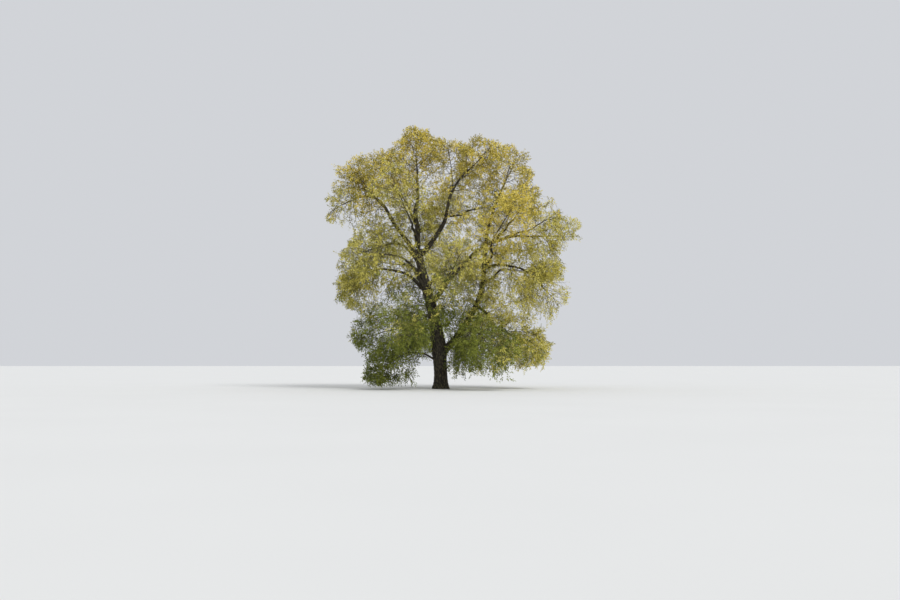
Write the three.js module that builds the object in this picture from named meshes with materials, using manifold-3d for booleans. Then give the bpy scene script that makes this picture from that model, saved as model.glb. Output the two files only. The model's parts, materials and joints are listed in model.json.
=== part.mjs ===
// A broad-crowned willow in young leaf. Its trunk leans, forks low and again at half its height,
// and its boughs rise, arch over and droop outside into airy masses of twigs and leaves.
// Millimetres, +Z up. +X is the viewer's right and +Y is away from the viewer.
// The origin is the middle of the trunk's flat cut at ground level.
import * as THREE from "three";
import { mergeVertices } from "three/addons/utils/BufferGeometryUtils.js";
import Module from "manifold-3d";

const wasm = await Module();
wasm.setup();

const { degToRad, lerp } = THREE.MathUtils;

// Driving dimensions. The tables are in metres on a tree of designHeight, and unit scales them.
const treeHeight = 20000;
const designHeight = 20;
const unit = treeHeight / designHeight;
const meetingGap = 0.3; // between two parts that meet, in mm
const trimSize = 0.05; // edges shorter than this are merged after a cut or a join, in mm

// The trunk runs from the ground to its upper fork. Its pulls set how late it bends from either end.
const trunkShape = {
  fork: [-1.74, 0.1, 10.6],
  forkHeading: [176, 84],
  pulls: [5.5, 2.8],
  footRadius: 0.46,
  forkRadius: 0.27,
  taperPower: 2.2, // above 1, so the trunk keeps its girth low down and narrows towards its fork
  flare: 0.42, // share by which the foot is wider than the stem above it
  flareHeight: 0.55,
  buttresses: 5,
  buttressDepth: 0.12,
  lowForkHeight: 3.2, // the swelling where the second stem leaves
  lowForkSwelling: 0.12,
  lowForkSpread: 1.3,
  sides: 16,
  steps: 17,
};

// Each limb: the one it leaves, and the share of that one's length where it does; its heading there;
// the mass it enters or the point it ends at; its heading there; its radii at root and tip.
// A heading is an azimuth and a rise in degrees: azimuth 0 is +X and 90 is +Y.
const limbTable = {
  leader_middle: ["trunk", 1, [150, 88], "crown_top", [100, 84], [0.225, 0.078]],
  leader_left: ["trunk", 0.94, [183, 46], "left_tip", [184, -24], [0.19, 0.062]],
  leader_right: ["trunk", 0.955, [352, 30], "top_right", [5, 42], [0.2, 0.07]],
  leader_back: ["trunk", 0.9, [118, 72], "top_left", [168, 52], [0.15, 0.066]],
  left_riser: ["leader_left", 0.56, [172, 62], "left_shoulder", [160, 50], [0.09, 0.054]],
  right_riser: ["leader_right", 0.7, [90, 70], "top_middle", [120, 78], [0.08, 0.054]],
  cross_limb: ["leader_right", 0.5, [5, -6], "inner_right", [24, 12], [0.085, 0.054]],
  leader_front: ["leader_middle", 0.12, [245, 40], "upper_front", [238, 48], [0.12, 0.062]],
  leader_rear: ["leader_middle", 0.2, [60, 38], "upper_back", [56, 34], [0.12, 0.062]],
  left_arch_upper: ["trunk", 0.72, [178, 68], "left_dome", [178, -12], [0.15, 0.066]],
  left_arch_front: ["trunk", 0.69, [205, 46], "left_front", [218, 2], [0.14, 0.062]],
  left_arch_lower: ["trunk", 0.66, [176, 54], "left_droop", [180, -36], [0.15, 0.062]],
  back_left_bough: ["trunk", 0.78, [140, 34], "back_left", [130, 8], [0.14, 0.062]],
  back_bough: ["trunk", 0.7, [78, 42], "back_middle", [84, 20], [0.15, 0.066]],
  front_bough: ["trunk", 0.56, [285, 40], "front_middle", [284, 16], [0.15, 0.066]],
  front_left_bough: ["trunk", 0.45, [248, 34], "low_front_left", [250, -12], [0.12, 0.062]],
  back_low_bough: ["trunk", 0.42, [112, 34], "back_low", [108, -10], [0.12, 0.062]],
  low_left_bough: ["trunk", 0.39, [180, 30], "low_left", [180, -8], [0.11, 0.058]],
  low_left_arm: ["trunk", 0.195, [190, 14], "left_skirt", [196, -28], [0.08, 0.054]],
  cross_bough: ["trunk", 0.6, [10, 47], [3.0, 0.95, 10.7], [6, 36], [0.19, 0.14]],
  far_right_arm: ["cross_bough", 1, [6, 36], "far_right", [352, 2], [0.139, 0.062]],
  far_right_upper: ["far_right_arm", 0.4, [346, 34], "right_upper", [348, 34], [0.08, 0.054]],
  right_sub_stem: ["far_right_arm", 0.27, [350, 68], "right_shoulder", [5, 60], [0.1, 0.058]],
  right_stem: ["trunk", 0.245, [352, 34], "right_dome", [5, 66], [0.27, 0.085]],
  right_front_bough: ["right_stem", 0.55, [318, 36], "front_right", [300, 36], [0.11, 0.058]],
  right_arch_upper: ["right_stem", 0.56, [4, 14], "right_droop", [2, -36], [0.12, 0.058]],
  right_arch_back: ["right_stem", 0.47, [52, 14], "right_back", [56, 2], [0.12, 0.062]],
  right_arch_lower: ["right_stem", 0.33, [356, -8], "low_right", [358, -24], [0.11, 0.058]],
  right_low_back: ["right_stem", 0.27, [66, 12], "low_back_right", [66, -10], [0.12, 0.062]],
  right_low_front: ["right_stem", 0.24, [300, 14], "low_front_right", [290, -22], [0.11, 0.058]],
};
const crook = 0.022; // sideways wander of a limb, as a share of its length
const limbPull = 0.36; // how late a limb bends from either end, as a share of its length
const entryDepth = 0.86; // a bough ends this far out from the middle of its mass, as a share of its size
const collar = { swelling: 0.35, length: 2.2 }; // where a limb leaves, in shares of its radius there
const boughStep = 1; // from ring to ring, in metres
const boughSides = { thin: 6, stout: 8, stoutFrom: 0.18 };

// Each mass keeps to an ellipsoid: its centre and its half sizes. Its twigs bend up by the share "lift"
// of their length, or down where that is below 0.
const massTable = {
  crown_top: { centre: [-1.85, 0.4, 18.1], size: [1.95, 2.9, 2], lift: 0.125, leaf: "gold" },
  top_left: { centre: [-4.15, 2.4, 16.4], size: [2, 2.9, 2.15], lift: 0.075, leaf: "gold" },
  top_middle: { centre: [0.7, 2.5, 18], size: [1.8, 2.8, 1.7], lift: 0.1, leaf: "gold" },
  top_right: { centre: [3.1, -1.6, 17.25], size: [1.85, 2.8, 1.85], lift: 0.075, leaf: "gold" },
  right_dome: { centre: [5.3, 0.9, 16.7], size: [1.95, 2.9, 2.1], lift: 0.075, leaf: "gold" },
  right_shoulder: { centre: [6.5, -1.4, 14.45], size: [1.7, 2.8, 2], lift: 0.05, leaf: "gold" },
  left_shoulder: { centre: [-6.05, -0.8, 15.7], size: [2.4, 3, 2], lift: 0.05, leaf: "gold" },
  left_tip: { centre: [-7.5, -0.6, 13.85], size: [1.5, 2.3, 1.25], lift: -0.15, leaf: "olive" },
  upper_front: { centre: [-3.05, -4.2, 14.1], size: [2.05, 2.3, 2], lift: 0.025, leaf: "olive" },
  upper_back: { centre: [1, 4.8, 14.1], size: [2.35, 2.4, 2.25], lift: 0.025, leaf: "olive" },
  inner_right: { centre: [3.75, 2, 14.1], size: [1.6, 1.8, 1.5], lift: 0.025, leaf: "olive" },
  right_upper: { centre: [8.15, -1.2, 12.9], size: [1.75, 2.6, 1.4], lift: 0, leaf: "olive" },
  far_right: { centre: [9.3, 0.8, 11.75], size: [1.6, 2.5, 1.45], lift: -0.075, leaf: "olive" },
  front_right: { centre: [4.75, -4.3, 12.4], size: [2.25, 2.3, 1.85], lift: 0.025, leaf: "gold" },
  left_dome: { centre: [-5.7, 0.5, 10.6], size: [2.4, 3, 2.1], lift: -0.05, leaf: "olive" },
  left_front: { centre: [-4.85, -4.3, 9.8], size: [2.25, 2.3, 1.9], lift: -0.075, leaf: "olive" },
  left_droop: { centre: [-6.6, 0.2, 7.85], size: [1.7, 2.7, 1.95], lift: -0.2, leaf: "olive" },
  back_left: { centre: [-4.3, 5, 10], size: [2.45, 2.35, 2.35], lift: -0.05, leaf: "olive" },
  back_middle: { centre: [0.5, 5.9, 9.9], size: [2.55, 2.35, 2.35], lift: 0, leaf: "olive" },
  front_middle: { centre: [1, -5.5, 8.8], size: [2.55, 2.35, 2.35], lift: 0, leaf: "olive" },
  right_back: { centre: [6.2, 4.6, 9.4], size: [2.35, 2.25, 2.35], lift: -0.05, leaf: "olive" },
  right_droop: { centre: [7.95, 0.3, 7.8], size: [1.95, 2.9, 2.55], lift: -0.175, leaf: "olive" },
  low_front_left: { centre: [-2.1, -5.4, 4.9], size: [2.45, 2.25, 2.1], lift: -0.1, leaf: "green" },
  back_low: { centre: [-1.7, 5.8, 4.8], size: [2.65, 2.35, 2.25], lift: -0.1, leaf: "green" },
  low_left: { centre: [-4.2, 0.8, 4.4], size: [2.45, 2.8, 2.1], lift: -0.075, leaf: "green" },
  left_skirt: { centre: [-4, -1.3, 1.9], size: [1.8, 2.15, 1.65], lift: -0.125, leaf: "green" },
  low_right: { centre: [6.1, -0.2, 3.7], size: [2.1, 2.8, 1.85], lift: -0.1, leaf: "olive" },
  low_back_right: { centre: [3.9, 5, 4.2], size: [2.45, 2.35, 2.25], lift: -0.1, leaf: "green" },
  low_front_right: { centre: [3.3, -4.5, 3.4], size: [2.45, 2.25, 2.1], lift: -0.125, leaf: "green" },
};
const spaceMargin = 0.04; // a mass stops this far short of its neighbour, in shares of its own size
const limbClearance = 0.08; // twigs and leaves stay this far from every limb, in metres
const goldenAngle = 137.5;

// The twigs of a mass: how many leave its stem, how they lean from it near its foot and its tip, and
// how far they go towards the edge of the space. The stem and each twig end in a leaf.
const twigs = {
  stemReach: 0.97,
  stemStoutness: 0.95, // the stem's radius beside the bough's that it goes on from
  count: 7,
  firstAt: 0.08, // shares of the stem's bare length
  lastAt: 0.9,
  tiltFoot: 84,
  tiltTip: 38,
  tiltSpread: 8,
  turnSpread: 50,
  reach: [0.86, 0.98],
  shortest: 1.1, // in metres, with the leaf
  mostLeaf: 0.64, // the most that the leaf takes of the length
  sides: 3,
  radius: 0.016,
  taper: 0.65,
};

// A leaf is flat below and has a ridge along its top, and stands for a spray of real ones.
const leaves = {
  at: [0.5, 0.95], // shares of the twig's bare length
  length: 1.8,
  lengthSpread: 0.15,
  width: 0.66, // shares of the length
  thickness: 0.026,
  widest: 0.43,
  lean: 55,
  turnSpread: 90,
  rollSpread: 90,
};
const tries = 20; // for each twig and leaf to find room
const shrink = 0.96; // each try is smaller than the last by this factor
const rootRoom = 0.2; // round a twig's root, where it may come near its parent, in metres

const firstLimbSeed = 20;
const firstMassSeed = 1000;
const up = new THREE.Vector3(0, 0, 1);

const matte = { metalness: 0, flatShading: true };
const materials = {
  bark: new THREE.MeshStandardMaterial({ ...matte, color: 0x3a3426, roughness: 0.95 }),
  gold: new THREE.MeshStandardMaterial({ ...matte, color: 0x9a8a3a, roughness: 0.7 }),
  olive: new THREE.MeshStandardMaterial({ ...matte, color: 0x7f7a34, roughness: 0.7 }),
  green: new THREE.MeshStandardMaterial({ ...matte, color: 0x566122, roughness: 0.7 }),
};

// A seeded stream of numbers from 0 to 1, the same on every run.
function seeded(seed) {
  let state = seed >>> 0;
  return () => {
    state = (state + 0x6d2b79f5) >>> 0;
    let mixed = Math.imul(state ^ (state >>> 15), state | 1);
    mixed ^= mixed + Math.imul(mixed ^ (mixed >>> 7), mixed | 61);
    return ((mixed ^ (mixed >>> 14)) >>> 0) / 4294967296;
  };
}

function point(metres) {
  return new THREE.Vector3(...metres).multiplyScalar(unit);
}

function headingOf([azimuth, rise]) {
  const turn = degToRad(azimuth);
  const lift = degToRad(rise);
  return new THREE.Vector3(Math.cos(turn) * Math.cos(lift), Math.sin(turn) * Math.cos(lift), Math.sin(lift));
}

// Two directions at right angles to a heading and to each other. The first is level.
function across(heading) {
  const upright = Math.abs(heading.z) > 0.999;
  const aside = upright ? new THREE.Vector3(0, 1, 0) : up;
  const side = new THREE.Vector3().crossVectors(heading, aside).normalize();
  return [side, new THREE.Vector3().crossVectors(side, heading)];
}

// A heading leaned from another by "tilt", on the side of it that "turn" gives.
function leanedFrom(heading, tilt, turn) {
  const [side, over] = across(heading);
  const outward = side.multiplyScalar(Math.cos(turn)).addScaledVector(over, Math.sin(turn));
  return heading.clone().multiplyScalar(Math.cos(tilt)).addScaledVector(outward, Math.sin(tilt)).normalize();
}

// A limb's line: a cubic curve between its two headings, which wanders sideways between its ends.
class LimbLine extends THREE.Curve {
  constructor(start, leave, end, arrive, pulls, wander, seed) {
    super();
    const second = start.clone().addScaledVector(leave, pulls[0]);
    const third = end.clone().addScaledVector(arrive, -pulls[1]);
    this.course = new THREE.CubicBezierCurve3(start, second, third, end);
    this.wander = wander * start.distanceTo(end);
    this.sideways = across(end.clone().sub(start).normalize());
    const random = seeded(seed);
    this.phases = [random(), random()].map((share) => share * Math.PI * 2);
  }
  getPoint(t, target = new THREE.Vector3()) {
    this.course.getPoint(t, target);
    const swing = this.wander * Math.sin(Math.PI * t) ** 2;
    target.addScaledVector(this.sideways[0], swing * Math.sin(11 * t + this.phases[0]));
    return target.addScaledVector(this.sideways[1], swing * Math.sin(8 * t + this.phases[1]));
  }
}

// A line that leaves in a heading and bends up or down by the share "lift" of its length.
function twigLine(start, heading, length, lift) {
  const middle = start.clone().addScaledVector(heading, length / 2);
  const end = start.clone().addScaledVector(heading, length).addScaledVector(up, lift * length);
  return new THREE.QuadraticBezierCurve3(start, middle, end);
}

// The place, side and top of a line at each share of its length, turned no more than the line bends.
function framesAlong(line, shares, roll) {
  let side = leanedFrom(line.getTangentAt(0), Math.PI / 2, roll);
  return shares.map((share) => {
    const tangent = line.getTangentAt(share);
    side = side.clone().projectOnPlane(tangent).normalize();
    return { at: line.getPointAt(share), side, over: new THREE.Vector3().crossVectors(side, tangent) };
  });
}

function evenShares(steps) {
  return Array.from({ length: steps + 1 }, (_, i) => i / steps);
}

// The straight upright shape that a bar is bent from.
function plainBar(ends, sides, steps) {
  if (ends === "bothPointed") return new THREE.SphereGeometry(1, sides, steps);
  if (ends === "tipPointed") return new THREE.ConeGeometry(1, 2, sides, steps);
  return new THREE.CylinderGeometry(1, 1, 2, sides, steps);
}

// A bar bent along a line, with a ring of corners at each share of its length. sectionAt takes the share
// and the angle round the bar and gives the half width and half height there. The bar may be rolled round
// its line, and may overrun both its ends.
function bentBar(line, sides, shares, sectionAt, { ends = "flat", roll = 0, overrun = 0 } = {}) {
  const bar = plainBar(ends, sides, shares.length - 1);
  const frames = framesAlong(line, shares, roll);
  frames[0].at.addScaledVector(line.getTangentAt(0), -overrun);
  frames.at(-1).at.addScaledVector(line.getTangentAt(1), overrun);
  const place = bar.attributes.position;
  for (let i = 0; i < place.count; i++) {
    const ring = Math.round((0.5 + place.getY(i) / 2) * (shares.length - 1));
    const out = new THREE.Vector2(place.getX(i), place.getZ(i));
    const { at, side, over } = frames[ring];
    const moved = at.clone();
    if (out.length() > 1e-6) {
      out.normalize();
      const [width, height] = sectionAt(shares[ring], out.angle());
      moved.addScaledVector(side, out.x * width).addScaledVector(over, out.y * height);
    }
    place.setXYZ(i, moved.x, moved.y, moved.z);
  }
  return bar;
}

function cornersOf(bar) {
  const place = bar.attributes.position;
  return Array.from({ length: place.count }, (_, i) => new THREE.Vector3().fromBufferAttribute(place, i));
}

function solidOf(geometry) {
  const bare = new THREE.BufferGeometry();
  bare.setAttribute("position", geometry.attributes.position);
  bare.setIndex(geometry.index);
  const merged = mergeVertices(bare, 1e-3);
  const mesh = new wasm.Mesh({
    numProp: 3,
    vertProperties: new Float32Array(merged.attributes.position.array),
    triVerts: new Uint32Array(merged.index.array),
  });
  return new wasm.Manifold(mesh);
}

function largestPiece(solid) {
  const pieces = solid.simplify(trimSize).decompose();
  return pieces.reduce((best, piece) => (piece.volume() > best.volume() ? piece : best));
}

function meshOf(name, solid, material) {
  const { vertProperties, triVerts } = solid.getMesh();
  const geometry = new THREE.BufferGeometry();
  geometry.setAttribute("position", new THREE.BufferAttribute(vertProperties, 3));
  geometry.setIndex(new THREE.BufferAttribute(triVerts, 1));
  const mesh = new THREE.Mesh(geometry, material);
  mesh.name = name;
  return mesh;
}

const spaces = Object.entries(massTable).map(([name, mass]) => ({
  name,
  centre: point(mass.centre),
  size: point(mass.size),
  lift: mass.lift,
  leaf: mass.leaf,
}));

// How far out a spot is in a space: 0 at its centre and 1 at its edge.
function depthIn(space, spot) {
  return spot.clone().sub(space.centre).divide(space.size).length();
}

// Whether a spot is inside a space, and nearer to its centre than to any other's.
function ownsSpot(space, spot) {
  const depth = depthIn(space, spot);
  return depth <= 1 && spaces.every((other) => other === space || depth + spaceMargin < depthIn(other, spot));
}

// The way from a spot inside a space to its edge, along a heading.
function reachTo(space, spot, heading) {
  const from = spot.clone().sub(space.centre).divide(space.size);
  const step = heading.clone().divide(space.size);
  const along = from.dot(step);
  const left = along * along - step.lengthSq() * (from.lengthSq() - 1);
  return (Math.sqrt(Math.max(0, left)) - along) / step.lengthSq();
}

function trunkRadius(share, angle) {
  const height = share * trunkShape.fork[2];
  const stem = lerp(trunkShape.footRadius, trunkShape.forkRadius, share ** trunkShape.taperPower);
  const offFork = (height - trunkShape.lowForkHeight) / trunkShape.lowForkSpread;
  const swelling = trunkShape.lowForkSwelling * Math.exp(-(offFork ** 2));
  const nearGround = Math.exp(-height / trunkShape.flareHeight);
  const lobes = 1 + trunkShape.buttressDepth * Math.cos(trunkShape.buttresses * angle + 0.7) * nearGround;
  return unit * (stem * (1 + trunkShape.flare * nearGround) * lobes + swelling);
}

// The trunk, and the same a little larger, which is what its boughs are cut by.
function makeTrunk() {
  const pulls = trunkShape.pulls.map((pull) => pull * unit);
  const forkHeading = headingOf(trunkShape.forkHeading);
  const foot = new THREE.Vector3();
  const line = new LimbLine(foot, up, point(trunkShape.fork), forkHeading, pulls, 0, firstLimbSeed);
  const build = (extra) => {
    const sectionAt = (share, angle) => Array(2).fill(trunkRadius(share, angle) + extra);
    const shares = evenShares(trunkShape.steps);
    return solidOf(bentBar(line, trunkShape.sides, shares, sectionAt, { overrun: extra }));
  };
  const radiusAt = (share) => trunkRadius(share, 0);
  return { name: "trunk", line, radiusAt, solid: build(0), grown: build(1.1 * meetingGap) };
}

// Where a limb ends: a point, or the near side of the mass that it enters.
function tipOf(goal, arrive) {
  if (Array.isArray(goal)) return point(goal);
  const space = spaces.find(({ name }) => name === goal);
  return space.centre.clone().addScaledVector(arrive, -entryDepth * reachTo(space, space.centre, arrive));
}

// A limb starts on its parent's middle line, or goes on from its tip, and is cut clear of the limbs before.
function makeLimb(name, [from, at, leaving, goal, arriving, radii], limbs) {
  const parent = limbs.find((limb) => limb.name === from);
  const goesOn = at === 1;
  const leave = goesOn ? parent.line.getTangentAt(1) : headingOf(leaving);
  const start = parent.line.getPointAt(at).addScaledVector(leave, goesOn ? meetingGap : 0);
  const arrive = headingOf(arriving);
  const tip = tipOf(goal, arrive);
  const pull = limbPull * start.distanceTo(tip);
  const line = new LimbLine(start, leave, tip, arrive, [pull, pull], crook, firstLimbSeed + limbs.length);
  const swelling = goesOn ? 0 : collar.swelling;
  const swellingEnd = (collar.length * radii[0] * unit) / line.getLength();
  const radiusAt = (share) => unit * lerp(...radii, share) * (1 + swelling * Math.exp(-share / swellingEnd));
  const sides = radii[0] < boughSides.stoutFrom ? boughSides.thin : boughSides.stout;
  const shares = evenShares(Math.max(3, Math.round(line.getLength() / (boughStep * unit))));
  const build = (extra) => {
    const sectionAt = (share) => Array(2).fill(radiusAt(share) + extra);
    return solidOf(bentBar(line, sides, shares, sectionAt, { overrun: extra }));
  };
  const cutters = limbs.filter((limb) => !(goesOn && limb === parent)).map((limb) => limb.grown);
  const solid = cutters.reduce((left, cutter) => left.subtract(cutter), build(0));
  return { name, goal, line, radiusAt, solid: largestPiece(solid), grown: build(1.1 * meetingGap) };
}

// Spots along a limb with its radius there, for keeping twigs clear of it.
function limbSpots(limb) {
  const shares = evenShares(Math.ceil(limb.line.getLength() / (0.2 * unit)));
  return shares.map((share) => ({ spot: limb.line.getPointAt(share), radius: limb.radiusAt(share) }));
}

// A twig that ends in a leaf, or a leaf alone where the bare share of its length is 0.
function leafyBar(line, bareShare, radius, leafLength, roll) {
  const widest = lerp(bareShare, 1, leaves.widest);
  const width = (leaves.width * leafLength) / Math.sqrt(3);
  const height = (leaves.thickness * leafLength) / 1.5;
  const sectionAt = (share) => {
    if (share === widest) return [width, height];
    return Array(2).fill(share > 0 ? radius * twigs.taper : radius);
  };
  const shares = bareShare > 0 ? [0, bareShare, widest, 1] : [0, widest, 1];
  const ends = bareShare > 0 ? "tipPointed" : "bothPointed";
  return bentBar(line, twigs.sides, shares, sectionAt, { ends, roll });
}

function leafyTwig(line, radius, leafLength, roll) {
  const blade = Math.min(twigs.mostLeaf * line.getLength(), leafLength);
  const bareShare = 1 - blade / line.getLength();
  return { line, bareShare, bar: leafyBar(line, bareShare, radius, blade, roll) };
}

// Whether a twig or leaf keeps to its space, off the limbs and off the twigs and leaves around it.
function fits({ line, bar }, space, spots, around) {
  const root = line.getPoint(0);
  const offRoot = (place) => place.distanceTo(root) > rootRoom * unit;
  const offLimbs = (place) =>
    spots.every(({ spot, radius }) => spot.distanceTo(place) > radius + limbClearance * unit);
  const guarded = [...cornersOf(bar), ...line.getPoints(8)].filter(offRoot);
  if (!guarded.every((place) => ownsSpot(space, place) && offLimbs(place))) return false;
  return around.every((other) => other.minGap(solidOf(bar), 1) > 0.5);
}

// The first of several tries that fits, each turned anew and smaller than the last, or nothing.
function firstThatFits(tryOne, space, spots, around) {
  for (let tried = 0; tried < tries; tried++) {
    const made = tryOne(shrink ** tried);
    if (fits(made, space, spots, around)) return made;
  }
  return null;
}

// A mass: a stem that goes on from its bough, twigs round the stem, and leaves along each twig.
function growMass(space, bough, spots, random) {
  const spread = (most) => most * (2 * random() - 1);
  const leafLength = () => leaves.length * unit * (1 + spread(leaves.lengthSpread));
  const roll = () => degToRad(spread(leaves.rollSpread));
  const tryOne = (scale) => tryStem(space, bough, scale, leafLength(), roll());
  const stem = firstThatFits(tryOne, space, spots, []);
  const stemSolid = solidOf(stem.bar);
  const solids = [];
  for (let k = 0; k < twigs.count; k++) {
    const along = k / (twigs.count - 1);
    const share = stem.bareShare * lerp(twigs.firstAt, twigs.lastAt, along);
    const root = stem.line.getPointAt(share);
    const tryTwig = (scale) => {
      const tilt = degToRad(lerp(twigs.tiltFoot, twigs.tiltTip, along) + spread(twigs.tiltSpread));
      const turn = degToRad(goldenAngle * k + spread(twigs.turnSpread));
      const heading = leanedFrom(stem.line.getTangentAt(share), tilt, turn);
      const length = scale * lerp(...twigs.reach, random()) * reachTo(space, root, heading);
      const line = twigLine(root, heading, Math.max(twigs.shortest * unit, length), space.lift);
      return leafyTwig(line, twigs.radius * unit, leafLength(), roll());
    };
    const twig = firstThatFits(tryTwig, space, spots, solids);
    if (!twig) continue;
    const around = [stemSolid, ...solids];
    solids.push(solidOf(twig.bar), ...growLeaves(space, twig, leafLength, roll, spread, spots, around));
  }
  return largestPiece(wasm.Manifold.union([stemSolid, ...solids]));
}

function tryStem(space, bough, scale, leafLength, roll) {
  const heading = bough.line.getTangentAt(1);
  const start = bough.line.getPointAt(1).addScaledVector(heading, meetingGap);
  const line = twigLine(start, heading, scale * twigs.stemReach * reachTo(space, start, heading), space.lift);
  return leafyTwig(line, twigs.stemStoutness * bough.radiusAt(1), leafLength, roll);
}

// The side leaves of a twig, which lean out from it by turns.
function growLeaves(space, { line, bareShare }, leafLength, roll, spread, spots, around) {
  const solids = [];
  leaves.at.forEach((at, k) => {
    const root = line.getPointAt(at * bareShare);
    const tryLeaf = (scale) => {
      const turn = degToRad(180 * k + spread(leaves.turnSpread));
      const heading = leanedFrom(line.getTangentAt(at * bareShare), degToRad(leaves.lean), turn);
      const length = scale * leafLength();
      const leafLine = twigLine(root, heading, length, space.lift);
      return { line: leafLine, bar: leafyBar(leafLine, 0, 0, length, roll()) };
    };
    const leaf = firstThatFits(tryLeaf, space, spots, [...around, ...solids]);
    if (leaf) solids.push(solidOf(leaf.bar));
  });
  return solids;
}

const tree = new THREE.Group();
const limbs = [makeTrunk()];
Object.entries(limbTable).forEach(([name, row]) => limbs.push(makeLimb(name, row, limbs)));
limbs.forEach((limb) => tree.add(meshOf(limb.name, limb.solid, materials.bark)));

const spots = limbs.flatMap(limbSpots);
spaces.forEach((space, i) => {
  const bough = limbs.find(({ goal }) => goal === space.name);
  const mass = growMass(space, bough, spots, seeded(firstMassSeed + i));
  tree.add(meshOf(`foliage_${space.name}`, mass, materials[space.leaf]));
});

export default tree;
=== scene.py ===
# A broad-crowned willow in young leaf, in metres, +Z up, +X to the viewer's right, +Y away from the viewer.
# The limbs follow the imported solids' lines. Each mass of foliage is grown again on its bough, by the same
# rule, and carried on to fine twigs and single leaves.
import json
import math
import bpy
import numpy as np
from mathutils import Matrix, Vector, noise

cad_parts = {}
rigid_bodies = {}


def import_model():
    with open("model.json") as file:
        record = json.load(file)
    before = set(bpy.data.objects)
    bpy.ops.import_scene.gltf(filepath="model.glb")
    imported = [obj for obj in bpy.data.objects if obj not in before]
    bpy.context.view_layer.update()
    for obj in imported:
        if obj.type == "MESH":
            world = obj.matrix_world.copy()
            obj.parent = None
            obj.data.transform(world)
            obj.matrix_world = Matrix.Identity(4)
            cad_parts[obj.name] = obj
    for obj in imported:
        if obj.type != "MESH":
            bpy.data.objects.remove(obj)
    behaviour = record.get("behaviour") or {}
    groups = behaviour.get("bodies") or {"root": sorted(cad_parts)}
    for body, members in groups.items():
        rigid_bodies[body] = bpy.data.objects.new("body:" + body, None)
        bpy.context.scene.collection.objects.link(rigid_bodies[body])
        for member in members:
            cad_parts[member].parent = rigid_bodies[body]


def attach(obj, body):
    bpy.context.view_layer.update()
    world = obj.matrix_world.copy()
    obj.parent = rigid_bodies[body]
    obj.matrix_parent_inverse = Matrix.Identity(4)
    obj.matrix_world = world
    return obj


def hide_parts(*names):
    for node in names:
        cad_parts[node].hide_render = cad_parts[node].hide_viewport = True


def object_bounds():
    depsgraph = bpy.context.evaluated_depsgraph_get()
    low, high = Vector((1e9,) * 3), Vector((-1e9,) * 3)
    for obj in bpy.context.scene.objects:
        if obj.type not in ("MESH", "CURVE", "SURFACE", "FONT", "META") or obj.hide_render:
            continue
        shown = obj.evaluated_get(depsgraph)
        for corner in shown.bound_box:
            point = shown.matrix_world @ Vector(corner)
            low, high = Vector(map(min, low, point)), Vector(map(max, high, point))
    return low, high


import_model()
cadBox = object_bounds()

tau = math.tau
up = np.array([0.0, 0.0, 1.0])
goldenAngle = math.radians(137.5)

camera = {"place": (0, -75.5, 1.8), "lens": 40, "sensor": 36, "farthest": 5000, "pitch": 3.71, "turn": 0.516}


# Headings and lines

def unit(vectors):
    return vectors / np.linalg.norm(vectors, axis=-1, keepdims=True)


def headingOf(azimuth, rise):
    turn, lift = math.radians(azimuth), math.radians(rise)
    return np.array([math.cos(turn) * math.cos(lift), math.sin(turn) * math.cos(lift), math.sin(lift)])


# two directions at right angles to each heading and to each other, the first of them level
def across(heading):
    upright = np.abs(heading[..., 2:]) > 0.999
    side = unit(np.cross(heading, np.where(upright, [0.0, 1.0, 0.0], up)))
    return side, np.cross(side, heading)


def leaned(heading, tilt, turn):
    side, over = across(heading)
    outward = side * np.cos(turn)[..., None] + over * np.sin(turn)[..., None]
    return unit(heading * np.cos(tilt)[..., None] + outward * np.sin(tilt)[..., None])


# the source's seeded stream of numbers from 0 to 1
def seeded(seed):
    state = seed
    while True:
        state = (state + 0x6D2B79F5) & 0xFFFFFFFF
        mixed = ((state ^ (state >> 15)) * (state | 1)) & 0xFFFFFFFF
        mixed ^= (mixed + (mixed ^ (mixed >> 7)) * (mixed | 61)) & 0xFFFFFFFF
        yield (mixed ^ (mixed >> 14)) / 4294967296


def lookUp(spots, places, rows):
    return np.stack([np.interp(spots, places, rows[:, i]) for i in range(3)], axis=-1)


lineSteps = 400
headingStep = 2e-3     # share of a line that its heading is taken over, each way


class Line:
    def __init__(self, points):
        self.points = points
        steps = np.linalg.norm(np.diff(points, axis=0), axis=1)
        self.run = np.concatenate([[0], np.cumsum(steps)])
        self.length = self.run[-1]

    def at(self, share):
        return lookUp(np.asarray(share) * self.length, self.run, self.points)

    def heading(self, share):
        share = np.asarray(share, float)
        return unit(self.at(np.minimum(share + headingStep, 1)) - self.at(np.maximum(share - headingStep, 0)))

    # side directions that turn no more than the line bends, at even shares
    def sides(self, steps):
        shares = np.linspace(0, 1, steps + 1)
        headings = self.heading(shares)
        side = across(headings[0])[0]
        found = []
        for heading in headings:
            side = unit(side - heading * side.dot(heading))
            found.append(side)
        return shares, np.array(found), np.cross(headings, found)


# The limbs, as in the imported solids

trunkShape = {
    "fork": (-1.74, 0.1, 10.6),
    "forkHeading": (176, 84),
    "pulls": (5.5, 2.8),
    "footRadius": 0.46,
    "forkRadius": 0.27,
    "taperPower": 2.2,
    "flare": 0.42,
    "flareHeight": 0.55,
    "buttresses": 5,
    "buttressDepth": 0.12,
    "buttressTurn": 0.7,
    "lowForkHeight": 3.2,
    "lowForkSwelling": 0.12,
    "lowForkSpread": 1.3,
}

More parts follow.
